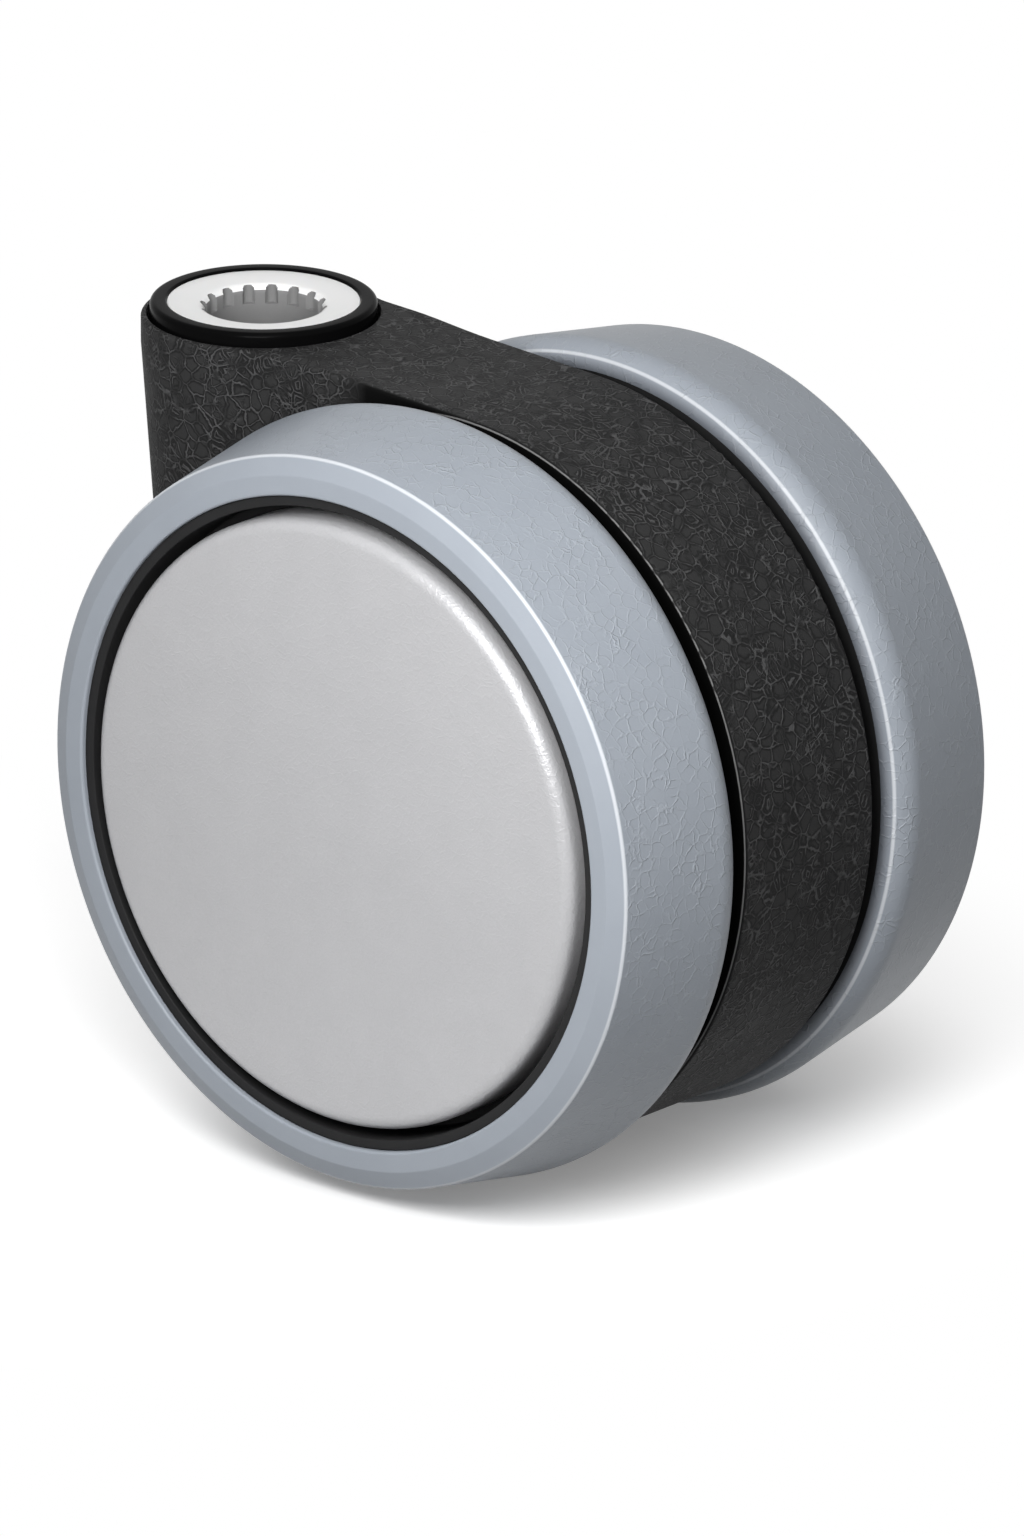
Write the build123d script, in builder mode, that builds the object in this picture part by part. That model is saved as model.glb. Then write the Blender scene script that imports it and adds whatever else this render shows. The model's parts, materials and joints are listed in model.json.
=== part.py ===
from build123d import *
from math import acos, atan2, cos, hypot, radians, sin, tan
import os

# Twin wheel caster. Millimetres, +Z up along the swivel axis, the wheels trail towards +X.
# The origin is on the swivel axis, where the straight wall of the stem bore begins.

# Overall layout
trail = 32.2  # from the swivel axis back to the axle
wheel_radius = 37.5  # at its largest, so a 75 mm wheel
running_clearance = 0.05  # radial, between a shaft and what turns on it
axial_play = 0.1  # between a turning piece and its thrust face

# Stem socket: white bush, black collar, steel sleeve and its ring
stem_radius = 5.5
bore_depth = 24.0
bush_floor = 1.2
bush_wall = 1.4
bush_flange_width = 2.3  # radial, outside the bush's shank
bush_flange_thickness = 1.6
mouth_rounding = 0.95
mouth_slope = 5.0  # degrees, of the flange's top face down to the bore
spline_count = 16
spline_radius = 0.55
spline_length = 5.0
spline_rise = 0.3  # into the mouth's rounding, so its edge stays smooth
collar_width = 1.6  # radial, outside the bush's flange
collar_height = 3.25
collar_lip = 0.2  # the collar stands this far above the bush
collar_rounding = 0.5
collar_inner_rounding = 0.2
sleeve_wall = 0.8
sleeve_overhang = 2.1  # past the bottom of the bush
sleeve_tail = 1.2  # past the retaining ring
ring_thickness = 0.8
ring_groove_depth = 0.4
ring_height = 1.2  # radial width of the retaining ring
ring_mouth = 3.0

# Housing
collar_reveal = 1.3  # how much of the collar shows above the housing
recess_clearance = 0.35  # around the collar
boss_rim = 0.5  # wall left outside the recess, at the top
boss_draft = 4.0  # degrees, below the straight top
straight_height = 2.7
drum_floor_gap = 1.5
arm_rise = 1.1  # of the housing's level top over the top of the drum
drum_width = 18.3
arm_flat = 0.3  # level top past the boss, before the arm begins to slope
root_step = 0.95  # of the arm's root inside the boss, on each side
neck_length = 7.35  # past the boss, to where the arm is as narrow as the drum
neck_blend = 60.0
top_trim = 2.0  # moulded past the top line and then cut back to it
arm_bend = 60.0  # eases the level top into the slope
root_blend = 7.0
edge_rounding = 0.4
drum_wall = 2.6
drum_web = 3.0
hub_radius = 8.0
housing_ribs = 10
housing_rib_thickness = 1.8
rib_setback = 0.9

# Swivel bearing
swivel_bush_wall = 1.15
swivel_bush_length = 8.0
swivel_flange_thickness = 0.8
swivel_flange_gap = 0.55  # from the upper bush's flange out to the recess
swivel_shoulder = 0.5  # step in the housing that stops both bushes
swivel_washer_thickness = 0.6
swivel_washer_width = 2.5
plug_thickness = 1.4
plug_skirt = 0.8
plug_room = 0.4  # below the sleeve

# Wheels, in distances from the axle and from the middle plane
wheel_gap = 1.85  # from the housing's side to the tread
tread_width = 15.6
tread_depth = 5.75
shoulder_rounding = 2.9
tread_taper = 9.3  # degrees
face_flat = 1.85
bevel_drop = 0.75
bevel_width = 1.85
ridge_rounding = 0.5
tread_lip_rounding = 0.3
rim_setback = 0.3  # of the rim behind the tread, on the inner side
flange_edge = 1.7  # from the rim's inner flange out to the largest radius
flange_thickness = 0.6
lip_setback = 0.5  # of the rim's lip behind the tread's face
lip_thickness = 1.05
groove_width = 1.05  # between the rim's lip and the cap
groove_depth = 5.0
rim_wall = 2.15
rim_web = 2.5
rim_floor = 1.5  # of the groove, outside the web
bead_height = 1.6
bead_width = 6.0
wheel_hub_wall = 3.0
wheel_ribs = 8
wheel_rib_thickness = 1.6
front_rib_height = 2.5
inner_rib_setback = 1.0
snap_ring_thickness = 1.15
snap_clearance = 0.05
snap_bead = 0.3
snap_height = 2.4  # of the snap bead above the groove's floor
cap_proud = 0.45
cap_dome = 0.35
cap_thickness = 1.6
cap_wall = 1.25
cap_rounding = 1.5
skirt_gap = 0.5  # from the cap's skirt to the groove's floor
cap_room = 0.45  # from the snap ring to the cap's underside

# Axle
axle_radius = 3.0
axle_chamfer = 0.4
axle_end_room = 0.6  # from the axle's end to the cap
axle_tail = 1.2
clip_thickness = 0.6
clip_radius = 5.0
clip_groove_depth = 0.6
clip_side_room = 0.05
wheel_bush_wall = 1.6
wheel_bush_flange_radius = 6.6
wheel_bush_flange = 0.9
wheel_bush_proud = 0.3
hub_washer_thickness = 0.6
hub_washer_radius = 6.4

# Levels along the swivel axis
mouth_corner = mouth_rounding / tan(radians((90 + mouth_slope) / 2))
bush_radius = stem_radius + bush_wall
bush_flange_radius = bush_radius + bush_flange_width
collar_radius = bush_flange_radius + collar_width
bush_top = mouth_corner + (bush_flange_radius - stem_radius) * tan(radians(mouth_slope))
bush_seat = bush_top - bush_flange_thickness
bush_bottom = -bore_depth - bush_floor
collar_top = bush_top + collar_lip
collar_bottom = collar_top - collar_height
sleeve_radius = bush_radius + sleeve_wall
housing_top = collar_top - collar_reveal
washer_top = collar_bottom - axial_play
flange_top = washer_top - swivel_washer_thickness
recess_floor = flange_top - swivel_flange_thickness
recess_radius = collar_radius + recess_clearance
boss_radius = recess_radius + boss_rim
draft_start = housing_top - straight_height
arm_root = boss_radius - root_step
arm_neck = boss_radius + neck_length
swivel_bush_inner = sleeve_radius + running_clearance
swivel_bush_outer = swivel_bush_inner + swivel_bush_wall
sleeve_bottom = bush_bottom - sleeve_overhang
plug_top = sleeve_bottom - plug_room
boss_bottom = plug_top - plug_thickness
boss_height = housing_top - boss_bottom
boss_middle = (housing_top + boss_bottom) / 2
ring_bottom = sleeve_bottom + sleeve_tail
ring_top = ring_bottom + ring_thickness
lower_bush_bottom = ring_top + axial_play

# Levels along the axle, from the middle plane outwards
drum_radius = wheel_radius - drum_floor_gap
axle_height = housing_top - arm_rise - drum_radius
drum_half = drum_width / 2
tread_inner = drum_half + wheel_gap
tread_outer = tread_inner + tread_width
rim_inner = tread_inner + rim_setback
hub_face = rim_inner - wheel_bush_flange - axial_play - hub_washer_thickness
rim_radius = wheel_radius - tread_depth
flange_radius = wheel_radius - flange_edge
flange_end = rim_inner + flange_thickness
lip_face = tread_outer - lip_setback
lip_inner = rim_radius - lip_thickness
cap_radius = lip_inner - groove_width
groove_floor = lip_face - groove_depth
web_outer = groove_floor - rim_floor
web_inner = web_outer - rim_web
skirt_inner = cap_radius - cap_wall
snap_radius = skirt_inner - snap_clearance
snap_inner = snap_radius - snap_ring_thickness
cap_edge = tread_outer + cap_proud
cap_under = cap_edge - cap_thickness
snap_top = cap_under - cap_room
snap_level = groove_floor + snap_height
axle_end = cap_under - axle_end_room
clip_outer = axle_end - axle_tail
clip_inner = clip_outer - clip_thickness
wheel_bush_end = clip_inner - axial_play
wheel_hub_end = wheel_bush_end - wheel_bush_proud
wheel_bush_inner = axle_radius + running_clearance
wheel_bush_outer = wheel_bush_inner + wheel_bush_wall
wheel_hub_radius = wheel_bush_outer + wheel_hub_wall

axle_centre = (trail, 0, axle_height)
axle_axis = Axis(axle_centre, (0, 1, 0))


# The half plane a wheel's sections are drawn in: x from the axle, y from the middle.
def section_plane(side):
    return Plane(origin=axle_centre, x_dir=(1, 0, 0), z_dir=(0, 0, side))


# A plane square to the axle that faces outwards, at a distance from the middle; y is up.
def cross_plane(side, distance):
    origin = (trail, side * distance, axle_height)
    return Plane(origin=origin, x_dir=(-side, 0, 0), z_dir=(0, side, 0))


# The corner of the sketch being drawn that is nearest to a point.
def corner(x, y):
    return vertices().sort_by_distance((x, y))[0]


# A split spring ring: outer circle, seat, and a mouth to spring it open.
def ring_outline(outer, seat, mouth):
    Circle(outer)
    Circle(seat, mode=Mode.SUBTRACT)
    with Locations((0, outer)):
        Rectangle(mouth, 2 * outer, mode=Mode.SUBTRACT)


def save(piece, name):
    piece.part.label = name
    export_step(piece.part, f"parts/{name}.step")


os.makedirs("parts", exist_ok=True)

# White socket bush: blind bore, belled mouth, short splines that grip the stem
with BuildPart() as socket_bush:
    with BuildSketch(Plane.XZ):
        with BuildLine():
            Polyline(
                (0, bush_bottom),
                (bush_radius, bush_bottom),
                (bush_radius, bush_seat),
                (bush_flange_radius, bush_seat),
                (bush_flange_radius, bush_top),
                (stem_radius, mouth_corner),
                (stem_radius, -bore_depth),
                (0, -bore_depth),
                close=True,
            )
        make_face()
        fillet(corner(stem_radius, mouth_corner), mouth_rounding)
    revolve(axis=Axis.Z)
    with BuildSketch(Plane.XY.offset(-spline_length)):
        with PolarLocations(stem_radius, spline_count):
            Circle(spline_radius)
    extrude(amount=spline_length + spline_rise, mode=Mode.SUBTRACT)
save(socket_bush, "socket_bush")

# Gloss collar pressed round the bush's flange and the top of the sleeve
with BuildPart() as swivel_collar:
    with BuildSketch(Plane.XZ):
        with BuildLine():
            Polyline(
                (sleeve_radius, collar_bottom),
                (collar_radius, collar_bottom),
                (collar_radius, collar_top),
                (bush_flange_radius, collar_top),
                (bush_flange_radius, bush_seat),
                (sleeve_radius, bush_seat),
                close=True,
            )
        make_face()
        fillet(corner(collar_radius, collar_top), collar_rounding)
        fillet(corner(bush_flange_radius, collar_top), collar_inner_rounding)
    revolve(axis=Axis.Z)
save(swivel_collar, "swivel_collar")

# Steel sleeve round the bush's shank, grooved near its lower end
with BuildPart() as kingpin_sleeve:
    with BuildSketch(Plane.XY.offset(sleeve_bottom)):
        Circle(sleeve_radius)
        Circle(bush_radius, mode=Mode.SUBTRACT)
    extrude(amount=bush_seat - sleeve_bottom)
    with BuildSketch(Plane.XY.offset(ring_bottom)):
        Circle(sleeve_radius)
        Circle(sleeve_radius - ring_groove_depth, mode=Mode.SUBTRACT)
    extrude(amount=ring_thickness, mode=Mode.SUBTRACT)
save(kingpin_sleeve, "kingpin_sleeve")

# Spring ring that holds the sleeve down in the housing
with BuildPart() as sleeve_ring:
    with BuildSketch(Plane.XY.offset(ring_bottom)):
        ring_seat = sleeve_radius - ring_groove_depth
        ring_outline(ring_seat + ring_height, ring_seat, ring_mouth)
    extrude(amount=ring_thickness)
save(sleeve_ring, "sleeve_ring")

# Upper and lower swivel bushes, pressed into the housing from both ends
with BuildPart() as swivel_bush_upper:
    with BuildSketch(Plane.XY.offset(flange_top)):
        Circle(recess_radius - swivel_flange_gap)
    extrude(amount=-swivel_flange_thickness)
    with BuildSketch(Plane.XY.offset(recess_floor)):
        Circle(swivel_bush_outer)
    extrude(amount=-swivel_bush_length)
    with BuildSketch(Plane.XY.offset(flange_top)):
        Circle(swivel_bush_inner)
    extrude(amount=-swivel_flange_thickness - swivel_bush_length, mode=Mode.SUBTRACT)
save(swivel_bush_upper, "swivel_bush_upper")

with BuildPart() as swivel_bush_lower:
    with BuildSketch(Plane.XY.offset(lower_bush_bottom)):
        Circle(swivel_bush_outer)
        Circle(swivel_bush_inner, mode=Mode.SUBTRACT)
    extrude(amount=swivel_bush_length)
save(swivel_bush_lower, "swivel_bush_lower")

# Washer that takes the load between the collar and the upper bush
with BuildPart() as swivel_washer:
    with BuildSketch(Plane.XY.offset(flange_top)):
        Circle(swivel_bush_inner + swivel_washer_width)
        Circle(swivel_bush_inner, mode=Mode.SUBTRACT)
    extrude(amount=swivel_washer_thickness)
save(swivel_washer, "swivel_washer")

# Plug that closes the bottom of the boss
with BuildPart() as boss_plug:
    with BuildSketch(Plane.XY.offset(boss_bottom)):
        Circle(swivel_bush_outer)
    extrude(amount=plug_thickness)
    with BuildSketch(Plane.XY.offset(plug_top)):
        Circle(swivel_bush_outer - plug_skirt)
    extrude(amount=-plug_skirt / 2, mode=Mode.SUBTRACT)
save(boss_plug, "boss_plug")

# The arm's sloping top touches the drum here
arm_start = boss_radius + arm_flat
rise = housing_top - axle_height
run = trail - arm_start
touch_angle = atan2(rise, -run) - acos(drum_radius / hypot(run, rise))
touch = (trail + drum_radius * cos(touch_angle), axle_height + drum_radius * sin(touch_angle))

# One-piece housing: round drum between the wheels, arm and drafted swivel boss
with BuildPart() as housing:
    # Boss and widened root of the arm: straight at the top, drafted below
    with BuildSketch(Plane.XY.offset(draft_start)) as arm_outline:
        with BuildLine():
            Polyline(
                (0, -arm_root),
                (arm_neck, -drum_half),
                (touch[0], -drum_half),
                (touch[0], drum_half),
                (arm_neck, drum_half),
                (0, arm_root),
                close=True,
            )
        make_face()
        Circle(boss_radius)
        for end in (-1, 1):
            fillet(corner(arm_neck, end * drum_half), neck_blend)
            fillet(corner(boss_radius / 2, end * boss_radius), root_blend)
    extrude(amount=boss_bottom - draft_start, taper=boss_draft)
    extrude(arm_outline.sketch, amount=straight_height + top_trim)

    # The arm's top line, level and then sloping down to touch the drum
    with BuildSketch(Plane.XZ):
        with BuildLine():
            Polyline(
                (-trail, housing_top),
                (arm_start, housing_top),
                touch,
                (trail, axle_height),
                (-trail, axle_height),
                close=True,
            )
        make_face()
        fillet(corner(arm_start, housing_top), arm_bend)
    extrude(amount=trail, both=True, mode=Mode.INTERSECT)
    with BuildSketch(cross_plane(1, -drum_half)):
        Circle(drum_radius)
    extrude(amount=drum_width)

    # Rounding from the boss's top edge, on along the arm and round both sides of the drum
    fillet(housing.faces().sort_by(Axis.Z)[-1].edges().sort_by(Axis.X)[0], edge_rounding)

    # Cored sides: a web down the middle, ribs from the hub out to the drum wall, and the
    # boss left solid as far as the start of the arm
    for side in (-1, 1):
        for depth_from, ribbed in ((drum_web / 2, True), (drum_half - rib_setback, False)):
            with BuildSketch(cross_plane(side, depth_from)):
                Circle(drum_radius - drum_wall)
                Circle(hub_radius, mode=Mode.SUBTRACT)
                if ribbed:
                    with PolarLocations(drum_radius / 2, housing_ribs):
                        Rectangle(drum_radius, housing_rib_thickness, mode=Mode.SUBTRACT)
                with Locations((side * (1.5 * trail - arm_start), boss_middle - axle_height)):
                    Rectangle(trail, boss_height, mode=Mode.SUBTRACT)
            extrude(amount=trail, mode=Mode.SUBTRACT)
        with BuildSketch(cross_plane(side, 0)):
            Circle(hub_radius)
        extrude(amount=hub_face)

    # Recess for the collar, and the stepped bore
    with BuildSketch(Plane.XY.offset(housing_top)):
        Circle(recess_radius)
    extrude(amount=recess_floor - housing_top, mode=Mode.SUBTRACT)
    with BuildSketch(Plane.XY.offset(recess_floor)):
        Circle(swivel_bush_outer)
    extrude(amount=-swivel_bush_length, mode=Mode.SUBTRACT)
    with BuildSketch(Plane.XY.offset(boss_bottom)):
        Circle(swivel_bush_outer)
    extrude(amount=lower_bush_bottom + swivel_bush_length - boss_bottom, mode=Mode.SUBTRACT)
    with BuildSketch(Plane.XY.offset(boss_bottom)):
        Circle(swivel_bush_outer - swivel_shoulder)
    extrude(amount=boss_height, mode=Mode.SUBTRACT)

    # Axle hole
    with BuildSketch(cross_plane(1, -hub_face)):
        Circle(axle_radius)
    extrude(amount=2 * hub_face, mode=Mode.SUBTRACT)
save(housing, "housing")

# Axle pin, with a clip groove near each end
with BuildPart() as axle:
    with BuildSketch(cross_plane(1, -axle_end)):
        Circle(axle_radius)
    extrude(amount=2 * axle_end)
    for side in (-1, 1):
        with BuildSketch(cross_plane(side, clip_inner - clip_side_room)):
            Circle(axle_radius)
            Circle(axle_radius - clip_groove_depth, mode=Mode.SUBTRACT)
        extrude(amount=clip_thickness + 2 * clip_side_room, mode=Mode.SUBTRACT)
    chamfer(axle.faces().filter_by(Axis.Y).sort_by(Axis.Y)[0].edges(), axle_chamfer)
    chamfer(axle.faces().filter_by(Axis.Y).sort_by(Axis.Y)[-1].edges(), axle_chamfer)
save(axle, "axle")

# Everything below is made once for each wheel; the left wheel is on the -Y side
for side, hand in ((-1, "left"), (1, "right")):
    # Washer on the axle between the housing's hub and the wheel's bush
    with BuildPart() as hub_washer:
        with BuildSketch(cross_plane(side, hub_face)):
            Circle(hub_washer_radius)
            Circle(axle_radius, mode=Mode.SUBTRACT)
        extrude(amount=hub_washer_thickness)
    save(hub_washer, f"hub_washer_{hand}")

    # Spring clip in the axle's groove
    with BuildPart() as axle_clip:
        with BuildSketch(cross_plane(side, clip_inner)):
            clip_seat = axle_radius - clip_groove_depth
            ring_outline(clip_radius, clip_seat, 2 * clip_seat)
        extrude(amount=clip_thickness)
    save(axle_clip, f"axle_clip_{hand}")

    # Flanged bush pressed into the wheel's hub, running on the axle
    with BuildPart() as wheel_bush:
        with BuildSketch(cross_plane(side, rim_inner - wheel_bush_flange)):
            Circle(wheel_bush_flange_radius)
        extrude(amount=wheel_bush_flange)
        with BuildSketch(cross_plane(side, rim_inner)):
            Circle(wheel_bush_outer)
        extrude(amount=wheel_bush_end - rim_inner)
        with BuildSketch(cross_plane(side, rim_inner - wheel_bush_flange)):
            Circle(wheel_bush_inner)
        extrude(amount=wheel_bush_end, mode=Mode.SUBTRACT)
    save(wheel_bush, f"wheel_bush_{hand}")

    # Moulded rim: hub, ribbed web, flanged outer wall with a locking bead, lip and snap ring
    with BuildPart() as rim:
        bead_middle = (web_inner + web_outer) / 2
        with BuildSketch(section_plane(side)):
            with BuildLine():
                Polyline(
                    (wheel_bush_outer, rim_inner),
                    (wheel_hub_radius, rim_inner),
                    (wheel_hub_radius, web_inner),
                    (rim_radius - rim_wall, web_inner),
                    (rim_radius - rim_wall, rim_inner),
                    (flange_radius, rim_inner),
                    (flange_radius, flange_end),
                    (rim_radius, flange_end),
                    (rim_radius, bead_middle - bead_width / 2),
                    (rim_radius + bead_height, bead_middle - bead_width / 2),
                    (rim_radius + bead_height, bead_middle + bead_width / 2),
                    (rim_radius, bead_middle + bead_width / 2),
                    (rim_radius, lip_face),
                    (lip_inner, lip_face),
                    (lip_inner, groove_floor),
                    (snap_radius, groove_floor),
                    (snap_radius, snap_level - snap_bead),
                    (snap_radius + snap_bead, snap_level),
                    (snap_radius, snap_level + snap_bead),
                    (snap_radius, snap_top),
                    (snap_inner, snap_top),
                    (snap_inner, web_outer),
                    (wheel_hub_radius, web_outer),
                    (wheel_hub_radius, wheel_hub_end),
                    (wheel_bush_outer, wheel_hub_end),
                    close=True,
                )
            make_face()
        revolve(axis=axle_axis)
        front_rib = snap_inner - wheel_hub_radius
        with BuildSketch(cross_plane(side, web_outer)):
            with PolarLocations(wheel_hub_radius + front_rib / 2, wheel_ribs):
                Rectangle(front_rib + snap_ring_thickness, wheel_rib_thickness)
        extrude(amount=front_rib_height)
        inner_rib = rim_radius - rim_wall - wheel_hub_radius
        with BuildSketch(cross_plane(side, rim_inner + inner_rib_setback)):
            with PolarLocations(wheel_hub_radius + inner_rib / 2, wheel_ribs):
                Rectangle(inner_rib + rim_wall, wheel_rib_thickness)
        extrude(amount=web_inner - rim_inner - inner_rib_setback)
    save(rim, f"rim_{hand}")

    # Soft tread moulded round the rim's wall and bead
    with BuildPart() as tread:
        edge_slope = tan(radians(tread_taper))
        shoulder_corner = (
            wheel_radius
            + shoulder_rounding * (1 / cos(radians(tread_taper)) - 1)
            + shoulder_rounding * edge_slope
        )
        ridge_level = tread_outer - bevel_drop
        ridge_radius = shoulder_corner - (ridge_level - tread_inner) * edge_slope
        with BuildSketch(section_plane(side)):
            with BuildLine():
                Polyline(
                    (rim_radius, tread_inner),
                    (shoulder_corner, tread_inner),
                    (ridge_radius, ridge_level),
                    (ridge_radius - bevel_width, tread_outer),
                    (rim_radius, tread_outer),
                    (rim_radius, bead_middle + bead_width / 2),
                    (rim_radius + bead_height, bead_middle + bead_width / 2),
                    (rim_radius + bead_height, bead_middle - bead_width / 2),
                    (rim_radius, bead_middle - bead_width / 2),
                    close=True,
                )
            make_face()
            fillet(corner(shoulder_corner, tread_inner), shoulder_rounding)
            fillet(corner(ridge_radius, ridge_level), ridge_rounding)
            fillet(corner(rim_radius, tread_outer), tread_lip_rounding)
            with Locations((flange_radius, flange_end)):
                Rectangle(flange_radius, flange_end, align=Align.MAX, mode=Mode.SUBTRACT)
        revolve(axis=axle_axis)
    save(tread, f"tread_{hand}")

    # Domed cap whose skirt snaps over the rim's ring
    with BuildPart() as cap:
        skirt_end = groove_floor + skirt_gap
        with BuildSketch(section_plane(side)):
            with BuildLine():
                Polyline(
                    (0, cap_edge + cap_dome),
                    (0, cap_under),
                    (skirt_inner, cap_under),
                    (skirt_inner, snap_level + snap_bead),
                    (skirt_inner + snap_bead, snap_level),
                    (skirt_inner, snap_level - snap_bead),
                    (skirt_inner, skirt_end),
                    (cap_radius, skirt_end),
                    (cap_radius, cap_edge),
                )
                TangentArc((0, cap_edge + cap_dome), (cap_radius, cap_edge), tangent=(1, 0))
            make_face()
            fillet(corner(cap_radius, cap_edge), cap_rounding)
        revolve(axis=axle_axis)
    save(cap, f"cap_{hand}")
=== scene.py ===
import bmesh
import bpy
import json
import math
from mathutils import Matrix, Vector


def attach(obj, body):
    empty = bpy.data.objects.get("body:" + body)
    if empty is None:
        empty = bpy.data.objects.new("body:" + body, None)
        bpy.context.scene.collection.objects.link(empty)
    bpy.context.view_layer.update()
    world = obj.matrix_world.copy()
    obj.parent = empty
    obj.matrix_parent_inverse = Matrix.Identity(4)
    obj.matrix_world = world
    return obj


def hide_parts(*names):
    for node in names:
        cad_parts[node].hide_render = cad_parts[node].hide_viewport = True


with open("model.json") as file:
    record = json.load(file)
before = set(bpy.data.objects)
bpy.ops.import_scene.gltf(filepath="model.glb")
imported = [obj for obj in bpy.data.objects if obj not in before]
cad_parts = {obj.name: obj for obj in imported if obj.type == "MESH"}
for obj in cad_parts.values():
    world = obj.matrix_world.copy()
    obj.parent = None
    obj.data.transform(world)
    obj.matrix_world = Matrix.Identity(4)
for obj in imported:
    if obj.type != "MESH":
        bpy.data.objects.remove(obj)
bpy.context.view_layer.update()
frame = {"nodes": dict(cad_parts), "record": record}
print("frame loaded:", len(frame["nodes"]), "nodes")

mm = 0.001
layout = {"trail": 32.2, "axleHeight": -37.006, "floorHeight": -74.506}  # mm, from the top of the stem's bore
hands = {"left": -1, "right": 1}
meshing = {"weld": 0.000001, "segments": 256, "smoothUnder": 32}  # metres, count, degrees


# Small helpers for node trees
def plug(tree, value, socket):
    if isinstance(value, bpy.types.NodeSocket):
        tree.links.new(value, socket)
    else:
        socket.default_value = value


def mathOf(tree, operation, *values):
    node = tree.nodes.new("ShaderNodeMath")
    node.operation = operation
    for value, socket in zip(values, node.inputs):
        plug(tree, value, socket)
    return node.outputs[0]


def productOf(tree, first, *others):
    for other in others:
        first = mathOf(tree, "MULTIPLY", first, other)
    return first


def lengthOf(tree, across, along):
    squares = mathOf(tree, "ADD", productOf(tree, across, across), productOf(tree, along, along))
    return mathOf(tree, "SQRT", squares)


def splitOf(tree, place):
    split = tree.nodes.new("ShaderNodeSeparateXYZ")
    plug(tree, place, split.inputs[0])
    return split.outputs


def groupWith(name, inputs):
    tree = bpy.data.node_groups.new(name, "GeometryNodeTree")
    tree.interface.new_socket("Geometry", in_out="INPUT", socket_type="NodeSocketGeometry")
    for label, kind in inputs:
        tree.interface.new_socket(label, in_out="INPUT", socket_type=kind)
    tree.interface.new_socket("Geometry", in_out="OUTPUT", socket_type="NodeSocketGeometry")
    given = tree.nodes.new("NodeGroupInput").outputs
    result = tree.nodes.new("NodeGroupOutput").inputs[0]
    return tree, given, result


# The end of each tree: real geometry with the material that was given
def finishTree(tree, geometry, material, result):
    realize = tree.nodes.new("GeometryNodeRealizeInstances")
    plug(tree, geometry, realize.inputs[0])
    finish = tree.nodes.new("GeometryNodeSetMaterial")
    plug(tree, realize.outputs[0], finish.inputs["Geometry"])
    plug(tree, material, finish.inputs["Material"])
    plug(tree, finish.outputs[0], result)


# A section turned about an axis. The section's points hold radius, level and the share of the
# grip grooves that reaches them; the grooves are for the stem's bore only.
def makeTurnedTree():
    tree, given, result = groupWith("turnedSection", [
        ("Rows", "NodeSocketInt"), ("Segments", "NodeSocketInt"), ("Grooves", "NodeSocketInt"),
        ("Groove Width", "NodeSocketFloat"), ("Groove Depth", "NodeSocketFloat"),
        ("Groove Base", "NodeSocketFloat"), ("Material", "NodeSocketMaterial"),
    ])
    grid = tree.nodes.new("GeometryNodeMeshGrid")
    rows = mathOf(tree, "ADD", given["Rows"], 1.0)
    plug(tree, mathOf(tree, "ADD", given["Segments"], 1.0), grid.inputs["Vertices X"])
    plug(tree, rows, grid.inputs["Vertices Y"])
    index = tree.nodes.new("GeometryNodeInputIndex").outputs[0]
    column = mathOf(tree, "FLOOR", mathOf(tree, "DIVIDE", mathOf(tree, "ADD", index, 0.5), rows))
    row = mathOf(tree, "SUBTRACT", index, productOf(tree, column, rows))
    sample = tree.nodes.new("GeometryNodeSampleIndex")
    sample.data_type = "FLOAT_VECTOR"
    plug(tree, given["Geometry"], sample.inputs["Geometry"])
    plug(tree, tree.nodes.new("GeometryNodeInputPosition").outputs[0], sample.inputs["Value"])
    plug(tree, mathOf(tree, "MODULO", row, given["Rows"]), sample.inputs["Index"])
    radius, level, share = splitOf(tree, sample.outputs[0])
    angle = productOf(tree, mathOf(tree, "DIVIDE", column, given["Segments"]), math.tau)
    pitch = mathOf(tree, "DIVIDE", math.tau, given["Grooves"])
    offCentre = mathOf(tree, "SUBTRACT", mathOf(tree, "MODULO", angle, pitch), productOf(tree, pitch, 0.5))
    halfWidth = productOf(tree, given["Groove Width"], 0.5)
    across = mathOf(tree, "DIVIDE", productOf(tree, offCentre, radius), halfWidth)
    underArc = mathOf(tree, "SUBTRACT", 1.0, productOf(tree, across, across))
    bowl = mathOf(tree, "SQRT", mathOf(tree, "MAXIMUM", underArc, 0.0))
    channel = mathOf(tree, "ADD", given["Groove Base"], productOf(tree, bowl, given["Groove Depth"]))
    reach = mathOf(tree, "MAXIMUM", radius, productOf(tree, channel, share))
    place = tree.nodes.new("ShaderNodeCombineXYZ")
    plug(tree, productOf(tree, reach, mathOf(tree, "COSINE", angle)), place.inputs[0])
    plug(tree, productOf(tree, reach, mathOf(tree, "SINE", angle)), place.inputs[1])
    plug(tree, level, place.inputs[2])
    move = tree.nodes.new("GeometryNodeSetPosition")
    plug(tree, grid.outputs["Mesh"], move.inputs["Geometry"])
    plug(tree, place.outputs[0], move.inputs["Position"])
    merge = tree.nodes.new("GeometryNodeMergeByDistance")
    plug(tree, move.outputs[0], merge.inputs["Geometry"])
    merge.inputs["Distance"].default_value = meshing["weld"]
    finishTree(tree, merge.outputs[0], given["Material"], result)
    return tree


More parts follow.
